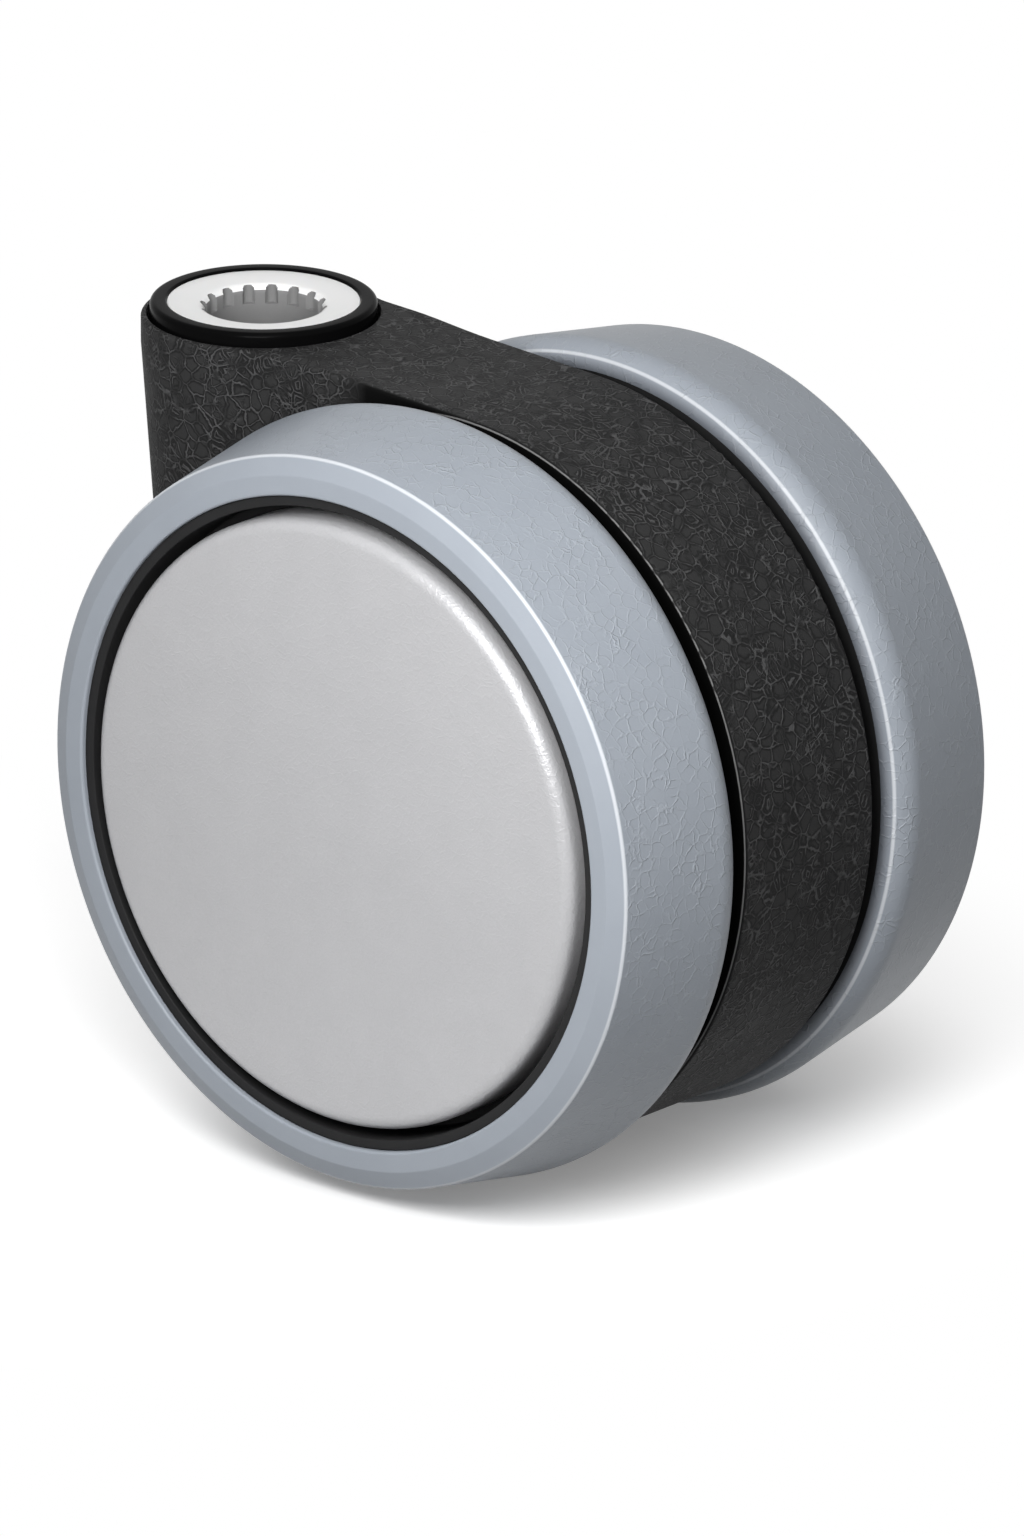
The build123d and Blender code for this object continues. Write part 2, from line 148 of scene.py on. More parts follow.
# Ribs that stand like spokes round an axis
def makeSpokeTree():
    tree, given, result = groupWith("spokes", [
        ("Count", "NodeSocketInt"), ("Inner Radius", "NodeSocketFloat"), ("Outer Radius", "NodeSocketFloat"),
        ("Thickness", "NodeSocketFloat"), ("Low", "NodeSocketFloat"), ("High", "NodeSocketFloat"),
        ("Material", "NodeSocketMaterial"),
    ])
    size = tree.nodes.new("ShaderNodeCombineXYZ")
    plug(tree, mathOf(tree, "SUBTRACT", given["Outer Radius"], given["Inner Radius"]), size.inputs[0])
    plug(tree, given["Thickness"], size.inputs[1])
    plug(tree, mathOf(tree, "SUBTRACT", given["High"], given["Low"]), size.inputs[2])
    middle = tree.nodes.new("ShaderNodeCombineXYZ")
    bothRadii = mathOf(tree, "ADD", given["Outer Radius"], given["Inner Radius"])
    plug(tree, productOf(tree, bothRadii, 0.5), middle.inputs[0])
    bothLevels = mathOf(tree, "ADD", given["High"], given["Low"])
    plug(tree, productOf(tree, bothLevels, 0.5), middle.inputs[2])
    rib = tree.nodes.new("GeometryNodeMeshCube")
    plug(tree, size.outputs[0], rib.inputs["Size"])
    shift = tree.nodes.new("GeometryNodeTransform")
    plug(tree, rib.outputs["Mesh"], shift.inputs["Geometry"])
    plug(tree, middle.outputs[0], shift.inputs["Translation"])
    points = tree.nodes.new("GeometryNodePoints")
    plug(tree, given["Count"], points.inputs["Count"])
    turn = tree.nodes.new("ShaderNodeCombineXYZ")
    index = tree.nodes.new("GeometryNodeInputIndex").outputs[0]
    plug(tree, mathOf(tree, "DIVIDE", productOf(tree, index, math.tau), given["Count"]), turn.inputs[2])
    repeat = tree.nodes.new("GeometryNodeInstanceOnPoints")
    plug(tree, points.outputs[0], repeat.inputs["Points"])
    plug(tree, shift.outputs[0], repeat.inputs["Instance"])
    plug(tree, turn.outputs[0], repeat.inputs["Rotation"])
    finishTree(tree, repeat.outputs[0], given["Material"], result)
    return tree


turnedTree = makeTurnedTree()
spokeTree = makeSpokeTree()


# Runs a tree on a mesh and gives back the plain mesh that comes out
def grown(name, mesh, tree, values):
    worker = bpy.data.objects.new(name, mesh)
    bpy.context.scene.collection.objects.link(worker)
    modifier = worker.modifiers.new(name, "NODES")
    modifier.node_group = tree
    for item in tree.interface.items_tree:
        if item.in_out == "INPUT" and item.name in values:
            modifier[item.identifier] = values[item.name]
    graph = bpy.context.evaluated_depsgraph_get()
    made = bpy.data.meshes.new_from_object(worker.evaluated_get(graph))
    bpy.data.objects.remove(worker)
    used = [material for material in made.materials if material]
    made.materials.clear()
    for material in used:
        made.materials.append(material)
    return made


# Replaces each corner (radius, level, rounding, groove share) of a closed section by an arc
def roundedSection(corners, arcSteps):
    outline = []
    for index, corner in enumerate(corners):
        here = Vector(corner[:2])
        rounding = corner[2]
        share = corner[3] if len(corner) > 3 else 0.0
        if not rounding:
            outline.append((here.x, here.y, share))
            continue
        before = (Vector(corners[index - 1][:2]) - here).normalized()
        after = (Vector(corners[(index + 1) % len(corners)][:2]) - here).normalized()
        half = before.angle(after) / 2
        centre = here + (before + after).normalized() * rounding / math.sin(half)
        start = here + before * rounding / math.tan(half) - centre
        end = here + after * rounding / math.tan(half) - centre
        sweep = math.atan2(start.x * end.y - start.y * end.x, start.dot(end))
        for step in range(arcSteps + 1):
            arm = Matrix.Rotation(sweep * step / arcSteps, 2) @ start
            outline.append((centre.x + arm.x, centre.y + arm.y, share))
    return outline


def meshFrom(name, points, faces=()):
    mesh = bpy.data.meshes.new(name)
    mesh.from_pydata(points, [], faces)
    return mesh


# A section in mm becomes a turned mesh; the last four values are for the bush's grooves only
def turnedMesh(name, section, material, segments=meshing["segments"], grooves=1, width=1.0, depth=0.0, base=0.0):
    points = [(radius * mm, level * mm, share) for radius, level, share in section]
    return grown(name, meshFrom(name, points), turnedTree, {
        "Rows": len(points), "Segments": segments, "Grooves": grooves, "Groove Width": width * mm,
        "Groove Depth": depth * mm, "Groove Base": base * mm, "Material": material,
    })


def spokeMesh(name, count, inner, outer, thickness, low, high, material):
    return grown(name, meshFrom(name, [(0, 0, 0)]), spokeTree, {
        "Count": count, "Inner Radius": inner * mm, "Outer Radius": outer * mm, "Thickness": thickness * mm,
        "Low": low * mm, "High": high * mm, "Material": material,
    })


# Local x, y, z of a wheel's section stand for world x, z and the way out from the middle
def wheelPlace(side):
    return Matrix((
        (1, 0, 0, layout["trail"] * mm), (0, 0, side, 0), (0, 1, 0, layout["axleHeight"] * mm), (0, 0, 0, 1)))


def finishedPiece(name, meshes, place, body, nodes):
    joined = bmesh.new()
    for mesh in meshes:
        joined.from_mesh(mesh)
    bmesh.ops.transform(joined, matrix=place, verts=joined.verts)
    bmesh.ops.recalc_face_normals(joined, faces=joined.faces)
    whole = bpy.data.meshes.new(name)
    joined.to_mesh(whole)
    joined.free()
    used = {material.name: material for mesh in meshes for material in mesh.materials if material}
    for material in used.values():
        whole.materials.append(material)
    whole.shade_smooth()
    whole.set_sharp_from_angle(angle=math.radians(meshing["smoothUnder"]))
    piece = bpy.data.objects.new(name, whole)
    bpy.context.scene.collection.objects.link(piece)
    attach(piece, body)
    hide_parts(*nodes)


# Helpers for materials
def newMaterial(name, values):
    material = bpy.data.materials.new(name)
    material.use_nodes = True
    shader = material.node_tree.nodes["Principled BSDF"]
    for label, value in values.items():
        shader.inputs[label].default_value = value
    return material, material.node_tree, shader


def objectPlace(tree, stretch=(1, 1, 1)):
    coordinates = tree.nodes.new("ShaderNodeTexCoord").outputs["Object"]
    mapping = tree.nodes.new("ShaderNodeMapping")
    mapping.inputs["Scale"].default_value = stretch
    tree.links.new(coordinates, mapping.inputs[0])
    return mapping.outputs[0]


def noiseNode(tree, place, scale, detail, roughness=0.5):
    node = tree.nodes.new("ShaderNodeTexNoise")
    node.inputs["Scale"].default_value = scale
    node.inputs["Detail"].default_value = detail
    node.inputs["Roughness"].default_value = roughness
    tree.links.new(place, node.inputs["Vector"])
    return node


def noiseOf(tree, place, *values):
    return noiseNode(tree, place, *values).outputs[0]


def rangeOf(tree, value, low, high, fromLow=0.0, fromHigh=1.0, smooth=False):
    node = tree.nodes.new("ShaderNodeMapRange")
    if smooth:
        node.interpolation_type = "SMOOTHSTEP"
    for label, number in (("From Min", fromLow), ("From Max", fromHigh), ("To Min", low), ("To Max", high)):
        node.inputs[label].default_value = number
    plug(tree, value, node.inputs["Value"])
    return node.outputs[0]


# Noise as a share: one value under a noise level, another over a second level
def patchesOf(tree, place, patch):
    noise = noiseOf(tree, place, patch["scale"], patch["detail"])
    return rangeOf(tree, noise, patch["low"], patch["high"], patch["from"], patch["to"])


def mixOf(tree, share, low, high):
    node = tree.nodes.new("ShaderNodeMix")
    node.data_type = "RGBA"
    plug(tree, share, node.inputs["Factor"])
    plug(tree, low if isinstance(low, bpy.types.NodeSocket) else (*low, 1), node.inputs["A"])
    plug(tree, high if isinstance(high, bpy.types.NodeSocket) else (*high, 1), node.inputs["B"])
    return node.outputs["Result"]


def bumpInto(tree, shader, heights, distance):
    bump = tree.nodes.new("ShaderNodeBump")
    bump.inputs["Distance"].default_value = distance
    bump.inputs["Strength"].default_value = 1.0
    tree.links.new(heights, bump.inputs["Height"])
    tree.links.new(bump.outputs[0], shader.inputs["Normal"])


# Crest and dark sides are shares of a line's width, the two noise scales are shares of the cells per metre
lineShape = {
    "bendScale": 0.9, "bendDetail": 3.0, "bendRoughness": 0.55, "crest": 0.2, "sideReach": 2.6,
    "innerScale": 0.4, "innerPatches": {"detail": 1.0, "low": 1.0, "high": 0.0, "from": 0.44, "to": 0.56},
}


# Raised lines round worm-shaped cells, as in moulded leather grain. Gives a share that is 1 on a line, and
# one that is 1 on it and beside it. With an inner line, some cells hold a smaller ring.
def grainLines(tree, place, look):
    cellsPerMetre, lineWidth = look["cells"], look["lineWidth"]
    bendScale = cellsPerMetre * lineShape["bendScale"]
    bend = noiseNode(tree, place, bendScale, lineShape["bendDetail"], lineShape["bendRoughness"])
    centred = tree.nodes.new("ShaderNodeVectorMath")
    centred.operation = "SUBTRACT"
    centred.inputs[1].default_value = (0.5, 0.5, 0.5)
    tree.links.new(bend.outputs["Color"], centred.inputs[0])
    scaled = tree.nodes.new("ShaderNodeVectorMath")
    scaled.operation = "SCALE"
    scaled.inputs["Scale"].default_value = look["wander"]
    tree.links.new(centred.outputs[0], scaled.inputs[0])
    moved = tree.nodes.new("ShaderNodeVectorMath")
    tree.links.new(place, moved.inputs[0])
    tree.links.new(scaled.outputs[0], moved.inputs[1])
    cells = tree.nodes.new("ShaderNodeTexVoronoi")
    cells.feature = "DISTANCE_TO_EDGE"
    cells.inputs["Scale"].default_value = cellsPerMetre
    tree.links.new(moved.outputs[0], cells.inputs["Vector"])
    offLine = cells.outputs["Distance"]
    if "innerLine" in look:
        offInner = mathOf(tree, "ABSOLUTE", mathOf(tree, "SUBTRACT", offLine, look["innerLine"]))
        innerScale = cellsPerMetre * lineShape["innerScale"]
        missing = patchesOf(tree, place, {"scale": innerScale, **lineShape["innerPatches"]})
        offLine = mathOf(tree, "MINIMUM", offLine, mathOf(tree, "ADD", offInner, missing))
    lines = rangeOf(tree, offLine, 1.0, 0.0, lineWidth * lineShape["crest"], lineWidth, smooth=True)
    sides = rangeOf(tree, offLine, 1.0, 0.0, lineWidth, lineWidth * lineShape["sideReach"], smooth=True)
    return lines, sides


# Where a painted highlight ring starts to fade and where it ends, as shares of its half width
ringShape = {"full": 0.4, "gone": 1.5}


# 1 on a thin ring round the axle at a radius and a distance from the middle plane, 0 away from it
def wheelRing(tree, radius, level, half):
    x, y, z = splitOf(tree, objectPlace(tree))
    alongX = mathOf(tree, "SUBTRACT", x, layout["trail"] * mm)
    alongZ = mathOf(tree, "SUBTRACT", z, layout["axleHeight"] * mm)
    offRadius = mathOf(tree, "SUBTRACT", lengthOf(tree, alongX, alongZ), radius * mm)
    offLevel = mathOf(tree, "SUBTRACT", mathOf(tree, "ABSOLUTE", y), level * mm)
    apart = lengthOf(tree, offRadius, offLevel)
    full, gone = half * mm * ringShape["full"], half * mm * ringShape["gone"]
    return rangeOf(tree, apart, 1.0, 0.0, full, gone, smooth=True)


# Share between two distances from the middle plane
def acrossShare(tree, start, end):
    y = splitOf(tree, objectPlace(tree))[1]
    return rangeOf(tree, mathOf(tree, "ABSOLUTE", y), 0.0, 1.0, start * mm, end * mm)


# Housing: leather-like grain. The drum's and arm's side faces are plain and carry painted shade, near-black for
# the gap beside the wheels; a painted highlight line runs round the drum's edge
grain = {
    "shader": {"Roughness": 0.55, "IOR": 1.11},
    "broad": {"cells": 660, "wander": 0.0010, "lineWidth": 0.075, "innerLine": 0.26},
    "fine": {"cells": 1250, "wander": 0.0006, "lineWidth": 0.0975},
    "finePatches": {"scale": 330, "detail": 2.0, "low": 0.05, "high": 0.8, "from": 0.49, "to": 0.6},
    "breaks": {"scale": 750, "detail": 2.0, "low": 0.22, "high": 1.0, "from": 0.4, "to": 0.56},
    "speckle": (6000, 2.0), "speckleShare": 0.3, "height": 0.00012,
    "roughness": {"scale": 90, "detail": 3.0, "low": 0.46, "high": 0.58, "from": 0.3, "to": 0.7},
    "sideFrom": 8.85, "sideTo": 9.05, "armFrom": 18.0, "armTo": 21.0,
    "edgeRadius": 35.76, "edgeLevel": 9.11, "edgeHalf": 0.08,
    "valley": (0.033, 0.033, 0.0333), "besideLine": (0.015, 0.015, 0.0152), "line": (0.078, 0.078, 0.079),
    "paintedSideShade": (0.003, 0.003, 0.003), "paintedEdgeHighlight": (0.18, 0.18, 0.18),
}


def makeGrainedBlack():
    material, tree, shader = newMaterial("grainedBlack", grain["shader"])
    place = objectPlace(tree)
    onArm = rangeOf(tree, splitOf(tree, place)[0], 0.0, 1.0, grain["armFrom"] * mm, grain["armTo"] * mm)
    side = productOf(tree, onArm, acrossShare(tree, grain["sideFrom"], grain["sideTo"]))
    grained = mathOf(tree, "SUBTRACT", 1.0, side)
    broad, broadSides = grainLines(tree, place, grain["broad"])
    fine, fineSides = grainLines(tree, place, grain["fine"])
    patchy = patchesOf(tree, place, grain["finePatches"])
    lines = mathOf(tree, "MAXIMUM", broad, productOf(tree, fine, patchy))
    sides = mathOf(tree, "MAXIMUM", broadSides, productOf(tree, fineSides, patchy))
    lines = productOf(tree, lines, patchesOf(tree, place, grain["breaks"]), grained)
    speckle = productOf(tree, noiseOf(tree, place, *grain["speckle"]), grain["speckleShare"], grained)
    bumpInto(tree, shader, mathOf(tree, "ADD", lines, speckle), grain["height"])
    between = mixOf(tree, productOf(tree, sides, grained), grain["valley"], grain["besideLine"])
    lined = mixOf(tree, lines, between, grain["line"])
    # Painted shade: the side faces, which stand in the gap beside the wheels, are coloured near-black
    plain = mixOf(tree, side, lined, grain["paintedSideShade"])
    # Painted highlight: a pale line round the drum's near edge, on the drum only
    paintedHighlight = productOf(tree, wheelRing(tree, grain["edgeRadius"], grain["edgeLevel"], grain["edgeHalf"]), onArm)
    tree.links.new(mixOf(tree, paintedHighlight, plain, grain["paintedEdgeHighlight"]), shader.inputs["Base Color"])
    plug(tree, patchesOf(tree, place, grain["roughness"]), shader.inputs["Roughness"])
    return material


# Treads: faint grain on the running face only, painted highlight lines on ridge and shoulder, painted shade
# beside the housing
treadLook = {
    "shader": {"Roughness": 0.4, "IOR": 1.36},
    "worms": {"cells": 840, "wander": 0.0010, "lineWidth": 0.085}, "wormShare": 0.11,
    "breaks": {"scale": 500, "detail": 2.0, "low": 0.1, "high": 1.0, "from": 0.38, "to": 0.62},
    "fine": (2500, 3.0), "fineShare": 0.3, "height": 0.000045, "linesFrom": 25.75, "linesTo": 25.55,
    "cloud": (160, 4.0, 0.6), "dark": (0.275, 0.302, 0.34), "light": (0.31, 0.337, 0.376),
    "worm": (0.5, 0.53, 0.57),
    "shadeTo": 11.7, "shadeFrom": 11.0, "shade": (0.07, 0.077, 0.09),
    "ridgeRadius": 35.5, "ridgeLevel": 25.8, "shoulderRadius": 36.43, "shoulderLevel": 11.66,
    "highlightHalf": 0.17, "highlightShare": 0.5, "line": (0.8, 0.82, 0.85),
}


def makeSoftGrey():
    material, tree, shader = newMaterial("softGrey", treadLook["shader"])
    place = objectPlace(tree)
    worms = grainLines(tree, place, treadLook["worms"])[0]
    running = acrossShare(tree, treadLook["linesFrom"], treadLook["linesTo"])
    raised = productOf(tree, worms, patchesOf(tree, place, treadLook["breaks"]), running)
    fine = productOf(tree, noiseOf(tree, place, *treadLook["fine"]), treadLook["fineShare"])
    bumpInto(tree, shader, mathOf(tree, "ADD", raised, fine), treadLook["height"])
    plain = mixOf(tree, noiseOf(tree, place, *treadLook["cloud"]), treadLook["dark"], treadLook["light"])
    lined = mixOf(tree, productOf(tree, raised, treadLook["wormShare"]), plain, treadLook["worm"])
    # Painted shade: the tread darkens towards its inner face, in the gap beside the housing
    outward = acrossShare(tree, treadLook["shadeFrom"], treadLook["shadeTo"])
    shaded = mixOf(tree, outward, treadLook["shade"], lined)
    # Painted highlight: pale lines on the outer ridge and on the inner shoulder
    half = treadLook["highlightHalf"]
    ridge = wheelRing(tree, treadLook["ridgeRadius"], treadLook["ridgeLevel"], half)
    shoulder = wheelRing(tree, treadLook["shoulderRadius"], treadLook["shoulderLevel"], half)
    paintedHighlight = mathOf(tree, "MAXIMUM", ridge, shoulder)
    edged = mixOf(tree, productOf(tree, paintedHighlight, treadLook["highlightShare"]), shaded, treadLook["line"])
    tree.links.new(edged, shader.inputs["Base Color"])
    return material


# Caps: sprayed silver with a fine fleck over a faint cloud
silverLook = {
    "shader": {"Metallic": 0.2, "Roughness": 0.34}, "fleck": (5200, 3.0), "fleckShare": 0.35,
    "worms": {"cells": 1000, "wander": 0.0012, "lineWidth": 0.14}, "wormShare": 0.4, "height": 0.00003,
    "cloud": (210, 4.0, 0.65), "dark": (0.43, 0.43, 0.442), "light": (0.48, 0.48, 0.492),
    "flecked": (0.3, 0.3, 0.31),
}


def makeSatinSilver():
    material, tree, shader = newMaterial("satinSilver", silverLook["shader"])
    place = objectPlace(tree)
    fleck = noiseOf(tree, place, *silverLook["fleck"])
    worms = grainLines(tree, place, silverLook["worms"])[0]
    heights = mathOf(tree, "ADD", fleck, productOf(tree, worms, silverLook["wormShare"]))
    bumpInto(tree, shader, heights, silverLook["height"])
    cloudy = mixOf(tree, noiseOf(tree, place, *silverLook["cloud"]), silverLook["dark"], silverLook["light"])
    flecked = mixOf(tree, productOf(tree, fleck, silverLook["fleckShare"]), cloudy, silverLook["flecked"])
    tree.links.new(flecked, shader.inputs["Base Color"])
    return material


# Plainer materials: shader values, noise (scale, detail) for a slight bump, and noise between two colours
plainLooks = {
    "rimBlack": {
        "shader": {"Roughness": 0.5, "IOR": 1.18}, "bump": (3500, 3.0), "height": 0.00001,
        "cloud": (260, 3.0), "dark": (0.016, 0.016, 0.0165), "light": (0.021, 0.021, 0.0215)},
    "glossBlack": {
        "shader": {"Roughness": 0.2, "IOR": 1.07}, "bump": (900, 2.0), "height": 0.000002,
        "cloud": (200, 2.0), "dark": (0.0022, 0.0022, 0.0023), "light": (0.0032, 0.0032, 0.0033)},
    "whitePlastic": {
        "shader": {
            "Roughness": 0.34, "Coat Weight": 0.5, "Coat Roughness": 0.12, "Subsurface Weight": 0.15,
            "Subsurface Scale": 0.002, "Subsurface Radius": (1.0, 0.9, 0.8)},
        "bump": (1800, 2.0), "height": 0.000004,
        "cloud": (240, 3.0), "dark": (0.9, 0.9, 0.895), "light": (0.93, 0.93, 0.925)},
    # Painted shade: the bore's wall of the white bush, coloured plain grey for the shade inside the bore
    "paintedBoreShade": {
        "shader": {"Roughness": 0.6, "Specular IOR Level": 0.2}, "bump": (1800, 2.0), "height": 0.000004,
        "cloud": (260, 2.0), "dark": (0.2, 0.2, 0.2), "light": (0.24, 0.24, 0.24)},
    "bearingPlastic": {
        "shader": {"Roughness": 0.4}, "bump": (2400, 3.0), "height": 0.000006,
        "cloud": (220, 3.0), "dark": (0.62, 0.59, 0.5), "light": (0.7, 0.67, 0.58)},
    # Steel with the fine rings that turning leaves
    "turnedSteel": {
        "shader": {"Metallic": 1.0, "Roughness": 0.3}, "stretch": (0.15, 1.0, 0.15), "bump": (9000, 3.0),
        "height": 0.000006, "cloud": (9000, 3.0), "dark": (0.5, 0.5, 0.51), "light": (0.62, 0.62, 0.63)},
}


def makePlain(name):
    look = plainLooks[name]
    material, tree, shader = newMaterial(name, look["shader"])
    place = objectPlace(tree, look.get("stretch", (1, 1, 1)))
    bumpInto(tree, shader, noiseOf(tree, place, *look["bump"]), look["height"])
    cloudy = mixOf(tree, noiseOf(tree, place, *look["cloud"]), look["dark"], look["light"])
    tree.links.new(cloudy, shader.inputs["Base Color"])
    return material


materials = {
    "grained_black": makeGrainedBlack(), "soft_grey": makeSoftGrey(), "satin_silver": makeSatinSilver(),
    "rim_black": makePlain("rimBlack"), "gloss_black": makePlain("glossBlack"),
    "white_plastic": makePlain("whitePlastic"), "bearing_plastic": makePlain("bearingPlastic"),
    "steel": makePlain("turnedSteel"),
}
print("materials made:", len(materials))

# Every CAD node takes its slot's material; those whose shape is redone below are hidden later
for row in frame["record"]["subparts"]:
    node = frame["nodes"][row["node"]]
    node.data.materials.clear()
    node.data.materials.append(materials[row["material_slot"]])

# All sizes from here to the floor are in mm. In a wheel, radii start at the axle and levels at the middle plane.
# Soft treads: bevelled outer ridge, tapered running face, rounded inner shoulder
tread = {
    "inner": 11.0, "width": 15.6, "largest": 37.5, "seat": 31.75, "shoulder": 2.9, "taper": 9.3,
    "bevelDrop": 0.75, "bevelWidth": 1.85, "ridge": 0.5, "bevelEdge": 0.6, "lip": 0.3,
    "flange": 35.25, "flangeEnd": 11.9, "arcSteps": 24,
}


# The full outline is cut back where the rim's flange stands beside the tread
def treadSection():
    slope = math.tan(math.radians(tread["taper"]))
    outer = tread["inner"] + tread["width"]
    corner = tread["largest"] + tread["shoulder"] * (1 / math.cos(math.radians(tread["taper"])) - 1 + slope)
    ridgeLevel = outer - tread["bevelDrop"]
    ridge = corner - (ridgeLevel - tread["inner"]) * slope
    full = roundedSection([
        (tread["seat"], tread["inner"], 0), (corner, tread["inner"], tread["shoulder"]),
        (ridge, ridgeLevel, tread["ridge"]), (ridge - tread["bevelWidth"], outer, tread["bevelEdge"]),
        (tread["seat"], outer, tread["lip"]),
    ], tread["arcSteps"])
    kept = [point for point in full if point[0] > tread["flange"] or point[1] > tread["flangeEnd"]]
    depth = math.sqrt(tread["shoulder"] ** 2 - (tread["flange"] - tread["largest"] + tread["shoulder"]) ** 2)
    start = tread["inner"] + tread["shoulder"] - depth
    return [
        (tread["seat"], tread["flangeEnd"], 0), (tread["flange"], tread["flangeEnd"], 0),
        (tread["flange"], start, 0), *kept,
    ]


# Moulded rims: wall behind the tread, flange, lip, deep groove, snap ring, web and hub
rim = {
    "inner": 11.3, "flange": 35.25, "flangeEnd": 11.9, "flangeEdge": 0.12, "wall": 2.15, "radius": 31.75,
    "lipFace": 26.1, "lip": 1.05, "lipEdge": 0.15, "grooveFloor": 21.1, "webInner": 17.1, "webOuter": 19.6,
    "backFillet": 0.4, "frontFillet": 0.3, "edge": 0.2, "hub": 7.65, "hubBore": 4.65, "hubEnd": 22.65,
    "snapRing": 28.35, "snapThickness": 1.15, "snapTop": 25.0, "snapEdge": 0.15, "arcSteps": 4,
    "ribs": 8, "ribThickness": 1.6, "ribOverlap": 0.3, "frontRib": 2.5, "innerSetback": 1.0,
}


def rimSection():
    lipInner = rim["radius"] - rim["lip"]
    wallInner = rim["radius"] - rim["wall"]
    snapInner = rim["snapRing"] - rim["snapThickness"]
    return roundedSection([
        (rim["hubBore"], rim["inner"], 0), (rim["hub"], rim["inner"], rim["edge"]),
        (rim["hub"], rim["webInner"], rim["backFillet"]), (wallInner, rim["webInner"], rim["backFillet"]),
        (wallInner, rim["inner"], rim["edge"]), (rim["flange"], rim["inner"], rim["flangeEdge"]),
        (rim["flange"], rim["flangeEnd"], 0), (rim["radius"], rim["flangeEnd"], 0),
        (rim["radius"], rim["lipFace"], rim["lipEdge"]), (lipInner, rim["lipFace"], rim["lipEdge"]),
        (lipInner, rim["grooveFloor"], rim["edge"]), (rim["snapRing"], rim["grooveFloor"], rim["edge"]),
        (rim["snapRing"], rim["snapTop"], rim["snapEdge"]), (snapInner, rim["snapTop"], rim["snapEdge"]),
        (snapInner, rim["webOuter"], rim["frontFillet"]), (rim["hub"], rim["webOuter"], rim["frontFillet"]),
        (rim["hub"], rim["hubEnd"], rim["edge"]), (rim["hubBore"], rim["hubEnd"], 0),
    ], rim["arcSteps"])


# Ribs behind and in front of the web, sunk a little into what they join
def rimRibs():
    overlap = rim["ribOverlap"]
    start = rim["hub"] - overlap
    backEnd = rim["radius"] - rim["wall"] + overlap
    frontEnd = rim["snapRing"] - rim["snapThickness"] + overlap
    return [
        spokeMesh("backRibs", rim["ribs"], start, backEnd, rim["ribThickness"],
                  rim["inner"] + rim["innerSetback"], rim["webInner"] + overlap, materials["rim_black"]),
        spokeMesh("frontRibs", rim["ribs"], start, frontEnd, rim["ribThickness"],
                  rim["webOuter"] - overlap, rim["webOuter"] + rim["frontRib"], materials["rim_black"]),
    ]


# Silver caps: domed face, broad soft edge, skirt round the snap ring
cap = {
    "radius": 29.65, "edge": 27.05, "edgeRise": 0.02, "dome": 0.35, "domeSteps": 14, "under": 25.45,
    "rounding": 1.4, "arcSteps": 12, "skirt": 28.4, "skirtEnd": 21.6,
}


def capSection():
    crown = cap["radius"] - cap["rounding"]
    face = []
    for step in range(cap["domeSteps"]):
        radius = crown * step / cap["domeSteps"]
        face.append((radius, cap["edge"] + cap["dome"] * (1 - (radius / cap["radius"]) ** 2), 0.0))
    rimLevel = cap["edge"] + cap["edgeRise"]
    edge = roundedSection([
        (0, rimLevel, 0), (cap["radius"], rimLevel, cap["rounding"]), (cap["radius"], cap["skirtEnd"], 0),
    ], cap["arcSteps"])[1:]
    inside = [(cap["skirt"], cap["skirtEnd"], 0.0), (cap["skirt"], cap["under"], 0.0), (0, cap["under"], 0.0)]
    return face + edge + inside


for hand, side in hands.items():
    place = wheelPlace(side)
    finishedPiece(
        "softTread_" + hand, [turnedMesh("tread", treadSection(), materials["soft_grey"])],
        place, "wheel_" + hand, ["tread_" + hand])
    finishedPiece(
        "mouldedRim_" + hand, [turnedMesh("rim", rimSection(), materials["rim_black"]), *rimRibs()],
        place, "wheel_" + hand, ["rim_" + hand])
    finishedPiece(
        "silverCap_" + hand, [turnedMesh("cap", capSection(), materials["satin_silver"])],
        place, "wheel_" + hand, ["cap_" + hand])
print("wheels made")

# Gloss collar. Here and in the bush, radii start at the swivel axis and levels at the origin.
collar = {
    "radius": 10.8, "top": 1.394, "bottom": -1.856, "inner": 9.2, "sleeve": 7.7, "seat": -0.406,
    "outerEdge": 0.5, "innerEdge": 0.2, "lowerEdge": 0.15, "arcSteps": 8,
}


def collarSection():
    return roundedSection([
        (collar["sleeve"], collar["bottom"], 0), (collar["radius"], collar["bottom"], collar["lowerEdge"]),
        (collar["radius"], collar["top"], collar["outerEdge"]),
        (collar["inner"], collar["top"], collar["innerEdge"]),
        (collar["inner"], collar["seat"], 0), (collar["sleeve"], collar["seat"], 0),
    ], collar["arcSteps"])


finishedPiece(
    "glossCollar", [turnedMesh("collar", collarSection(), materials["gloss_black"])],
    Matrix(), "socket", ["swivel_collar"])

# White bush that takes the stem, with short grip grooves in its belled mouth
bush = {
    "top": 1.194, "seat": -0.406, "flange": 9.2, "flangeEdge": 0.12, "shank": 6.9, "bore": 5.5,
    "mouthLevel": 0.87, "mouth": 0.95, "floor": -24.0, "bottom": -25.2, "arcSteps": 10, "segments": 384,
    "grooves": 16, "grooveWidth": 1.1, "grooveDepth": 0.55, "grooveEnd": -0.9, "grooveRunout": 0.05,
    "wallReach": 6.4, "steep": 0.4,
}


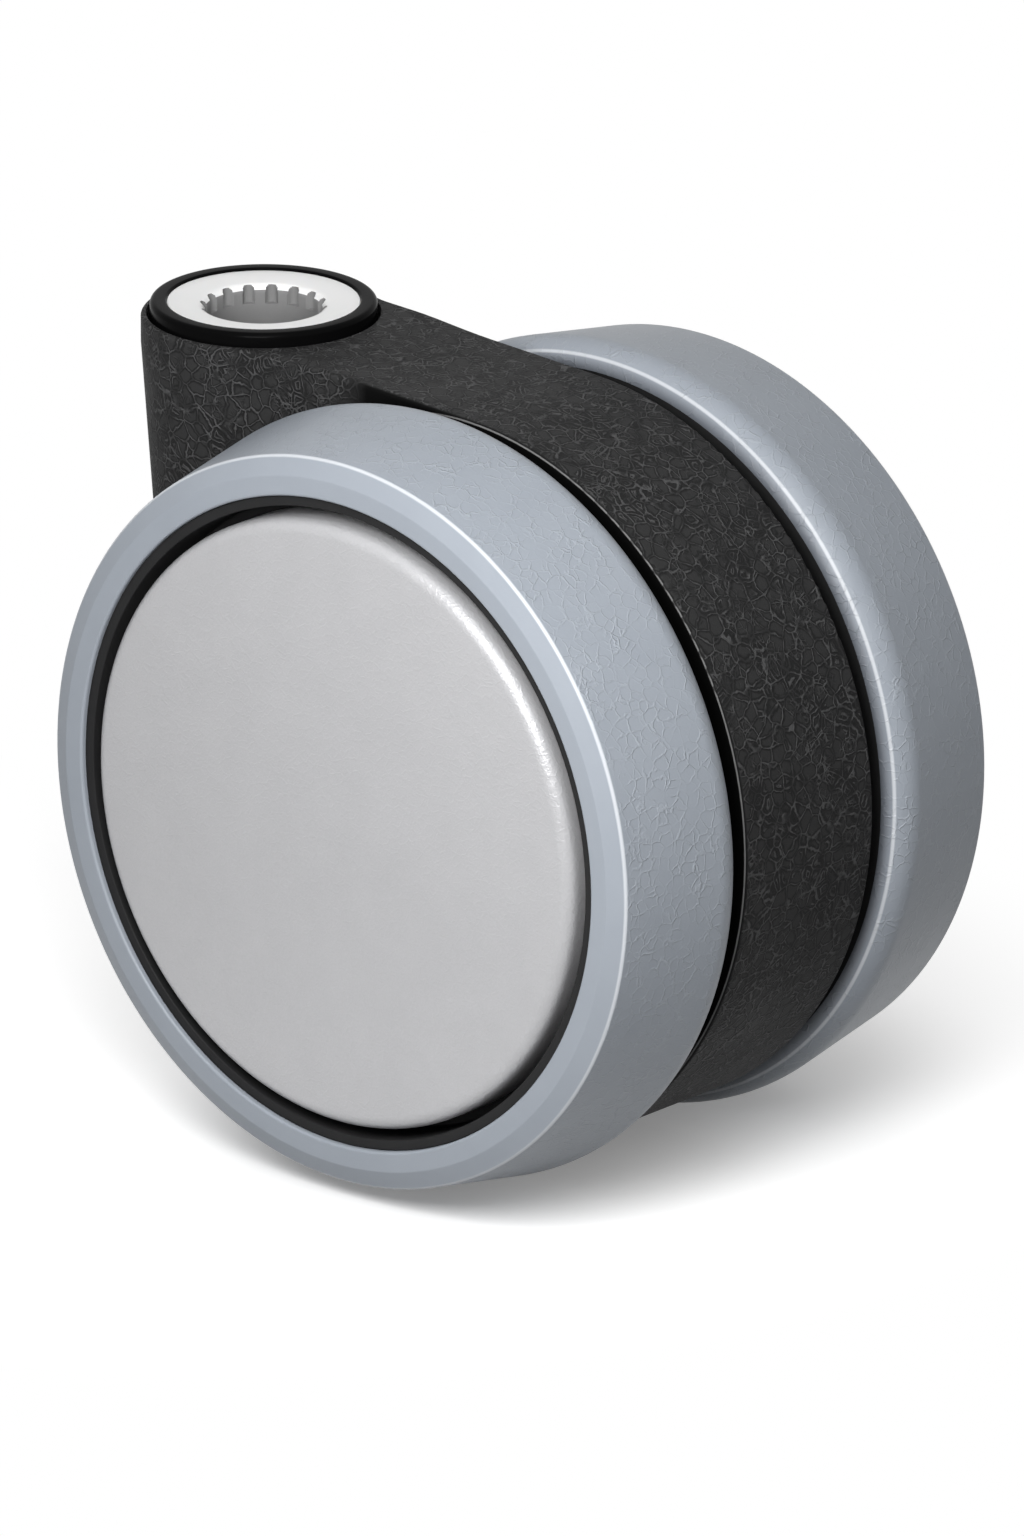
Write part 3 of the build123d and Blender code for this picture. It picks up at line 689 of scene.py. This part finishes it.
def bushSection():
    mouth = roundedSection([
        (bush["flange"], bush["top"], bush["flangeEdge"]),
        (bush["bore"], bush["mouthLevel"], bush["mouth"], 1.0), (bush["bore"], bush["floor"], 0),
    ], bush["arcSteps"])[:-1]
    return [
        (0, bush["bottom"], 0), (bush["shank"], bush["bottom"], 0), (bush["shank"], bush["seat"], 0),
        (bush["flange"], bush["seat"], 0), *mouth, (bush["bore"], bush["grooveEnd"], 1.0),
        (bush["bore"], bush["grooveEnd"] - bush["grooveRunout"], 0.0), (bush["bore"], bush["floor"], 0.0),
        (0, bush["floor"], 0.0),
    ]


bushMesh = turnedMesh(
    "bush", bushSection(), materials["white_plastic"], bush["segments"], bush["grooves"], bush["grooveWidth"],
    bush["grooveDepth"], bush["bore"])
bushMesh.materials.append(makePlain("paintedBoreShade"))
# Painted shade: faces of the bore's wall take the grey material
for face in bushMesh.polygons:
    steep = abs(face.normal.z) < bush["steep"] or face.center.z < 0
    if math.hypot(face.center.x, face.center.y) < bush["wallReach"] * mm and steep:
        face.material_index = 1
finishedPiece("stemBush", [bushMesh], Matrix(), "socket", ["socket_bush"])
print("socket made")

# Floor: sizes in metres, reaches in mm. Rays that light the object meet a darker floor than rays that see it.
floorLook = {
    "size": 6.0, "colour": (0.32, 0.32, 0.32), "seenColour": (0.86, 0.86, 0.86), "seenGlow": 0.2,
    "farGlow": 0.56, "footHalf": 20.0, "shadeReach": 5.0, "liftTo": 38.0, "shadeEnd": 55.0, "whiteFrom": 90.0,
}


def seenRays(tree):
    path = tree.nodes.new("ShaderNodeLightPath").outputs
    either = mathOf(tree, "MAXIMUM", path["Is Camera Ray"], path["Is Glossy Ray"])
    return mathOf(tree, "MAXIMUM", either, path["Is Transmission Ray"])


def diffuseOf(tree, colour):
    node = tree.nodes.new("ShaderNodeBsdfDiffuse")
    node.inputs["Color"].default_value = (*colour, 1)
    return node.outputs[0]


def shaderMix(tree, share, low, high):
    node = tree.nodes.new("ShaderNodeMixShader")
    plug(tree, share, node.inputs[0])
    tree.links.new(low, node.inputs[1])
    tree.links.new(high, node.inputs[2])
    return node.outputs[0]


def makeFloor():
    half = floorLook["size"] / 2
    level = layout["floorHeight"] * mm
    corners = [(-half, -half, level), (half, -half, level), (half, half, level), (-half, half, level)]
    mesh = meshFrom("floor", corners, [(0, 1, 2, 3)])
    material = bpy.data.materials.new("paleFloor")
    material.use_nodes = True
    tree = material.node_tree
    tree.nodes.clear()
    x, y = splitOf(tree, objectPlace(tree))[:2]
    # Beside the line on which the wheels stand at rest the seen floor glows less, which keeps its shadow
    offLine = mathOf(tree, "SUBTRACT", x, layout["trail"] * mm)
    beyond = mathOf(tree, "SUBTRACT", mathOf(tree, "ABSOLUTE", y), floorLook["footHalf"] * mm)
    away = lengthOf(tree, offLine, mathOf(tree, "MAXIMUM", beyond, 0.0))
    glow = tree.nodes.new("ShaderNodeEmission")
    liftFrom, liftTo = floorLook["shadeReach"] * mm, floorLook["liftTo"] * mm
    lifted = rangeOf(tree, away, floorLook["seenGlow"], floorLook["farGlow"], liftFrom, liftTo, smooth=True)
    plug(tree, lifted, glow.inputs["Strength"])
    near = tree.nodes.new("ShaderNodeAddShader")
    tree.links.new(diffuseOf(tree, floorLook["seenColour"]), near.inputs[0])
    tree.links.new(glow.outputs[0], near.inputs[1])
    # Past the circle round the swivel axis that the wheels' shadow can reach, it passes into plain white
    white = tree.nodes.new("ShaderNodeEmission")
    shadeEnd, whiteFrom = floorLook["shadeEnd"] * mm, floorLook["whiteFrom"] * mm
    outside = rangeOf(tree, lengthOf(tree, x, y), 0.0, 1.0, shadeEnd, whiteFrom, smooth=True)
    seen = shaderMix(tree, outside, near.outputs[0], white.outputs[0])
    whole = shaderMix(tree, seenRays(tree), diffuseOf(tree, floorLook["colour"]), seen)
    out = tree.nodes.new("ShaderNodeOutputMaterial")
    tree.links.new(whole, out.inputs[0])
    mesh.materials.append(material)
    floor = bpy.data.objects.new("floor", mesh)
    bpy.context.scene.collection.objects.link(floor)


makeFloor()

# World: white where it is seen or mirrored, a softer level where it lights
worldLook = {"fill": 0.235, "seen": 1.0}
world = bpy.data.worlds.new("studio")
bpy.context.scene.world = world
world.use_nodes = True
worldTree = world.node_tree
background = worldTree.nodes["Background"]
background.inputs["Color"].default_value = (1, 1, 1, 1)
worldLevel = rangeOf(worldTree, seenRays(worldTree), worldLook["fill"], worldLook["seen"])
plug(worldTree, worldLevel, background.inputs["Strength"])

# Soft boxes: direction from the object in degrees, size and distance in metres, power in watts
softBoxes = {
    "overhead": {"azimuth": 10, "height": 70, "distance": 0.7, "size": (0.6, 0.6), "power": 0.4},
    "key": {"azimuth": 46, "height": 44, "distance": 0.75, "size": (0.3, 0.45), "power": 1.1},
    "front": {"azimuth": 26, "height": 32, "distance": 0.21, "size": (0.1, 0.1), "power": 0.43},
}
aim = Vector((layout["trail"] * mm, 0, layout["axleHeight"] * mm))


# The way towards an azimuth and height, with azimuth 0 looking at the left wheel's cap
def towards(azimuth, height):
    turn, rise = math.radians(azimuth), math.radians(height)
    return Vector((math.sin(turn) * math.cos(rise), -math.cos(turn) * math.cos(rise), math.sin(rise)))


for name, box in softBoxes.items():
    lamp = bpy.data.lights.new(name, "AREA")
    lamp.shape = "RECTANGLE"
    lamp.size, lamp.size_y = box["size"]
    lamp.energy = box["power"]
    holder = bpy.data.objects.new(name, lamp)
    out = towards(box["azimuth"], box["height"])
    holder.location = aim + out * box["distance"]
    holder.visible_camera = False
    holder.rotation_euler = out.to_track_quat("Z", "Y").to_euler()
    bpy.context.scene.collection.objects.link(holder)

# Camera at the photograph's angle: degrees, metres and, for lens and sensor, mm
view = {
    "azimuth": 41.07, "height": 19.13, "distance": 2.8306, "right": -0.00078, "up": -0.00123,
    "lens": 703.1, "sensor": 36.0, "clipEnd": 50,
}
camera = bpy.data.objects.new("camera", bpy.data.cameras.new("camera"))
bpy.context.scene.collection.objects.link(camera)
bpy.context.scene.camera = camera
camera.data.sensor_fit = "VERTICAL"
camera.data.sensor_height = view["sensor"]
camera.data.lens = view["lens"]
camera.data.clip_end = view["clipEnd"]
back = towards(view["azimuth"], view["height"])
viewTurn = math.radians(view["azimuth"])
across = Vector((math.cos(viewTurn), math.sin(viewTurn), 0))
upward = back.cross(across)
camera.location = aim + back * view["distance"] + across * view["right"] + upward * view["up"]
camera.rotation_euler = Matrix((across, upward, back)).transposed().to_euler()

bpy.context.scene.view_settings.view_transform = "Standard"
print("lights and camera set")
